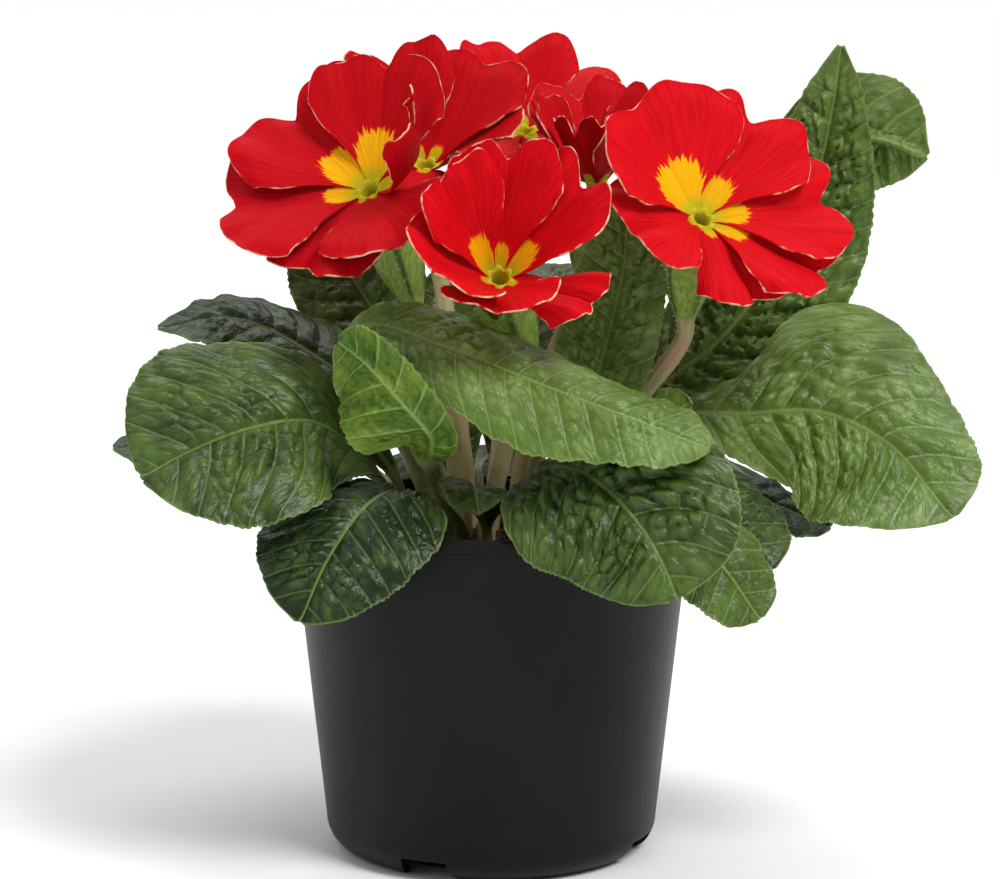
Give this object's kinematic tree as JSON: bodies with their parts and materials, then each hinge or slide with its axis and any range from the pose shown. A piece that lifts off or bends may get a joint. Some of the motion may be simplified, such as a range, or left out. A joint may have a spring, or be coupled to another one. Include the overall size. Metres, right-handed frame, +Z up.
{
  "type": "potted primrose",
  "caption": "Potted primrose: red flowers with yellow star eyes over a rosette of quilted green leaves, in a plain black tapered nursery pot.",
  "frame": {"origin": "centre of the flat disc under the pot's floor, on the surface that the pot stands on", "axes": "+Z up along the pot's axis, -Y towards the side with the pale leaf that lies across the front, +X to the right seen from there"},
  "size_m": [0.2186, 0.1593, 0.2086],
  "materials": {
    "pot": "matte black, faintly scuffed",
    "soil": "dark crumbly peat",
    "leaf": "quilted, satin above and matte below",
    "stem": "soft, finely hairy",
    "petal": "velvety"
  },
  "bodies": {
    "root": {"pot": "pot", "soil": "soil", "leaf_left": "leaf", "leaf_back_left": "leaf", "leaf_left_upright": "leaf", "leaf_front_left": "leaf", "leaf_front_pale": "leaf", "leaf_front_folded": "leaf", "leaf_front_right": "leaf", "leaf_right_low": "leaf", "leaf_right_hanging": "leaf", "leaf_right": "leaf", "leaf_right_tall": "leaf", "leaf_right_far": "leaf", "leaf_young_right": "leaf", "leaf_middle": "leaf", "leaf_right_under": "leaf", "leaf_left_under": "leaf", "leaf_back_right_low": "leaf", "leaf_back_low": "leaf", "leaf_back": "leaf", "leaf_back_left_low": "leaf", "leaf_back_left_wide": "leaf", "leaf_back_high": "leaf", "leaf_small_curled": "leaf", "leaf_small_front": "leaf", "leaf_small_left": "leaf", "leaf_small_right": "leaf", "stem_left": "stem", "corolla_left": "petal", "stem_front": "stem", "corolla_front": "petal", "stem_right": "stem", "corolla_right": "petal", "stem_back_left": "stem", "corolla_back_left": "petal", "stem_back": "stem", "corolla_back": "petal", "stem_middle": "stem", "corolla_middle": "petal"}
  },
  "joints": []
}
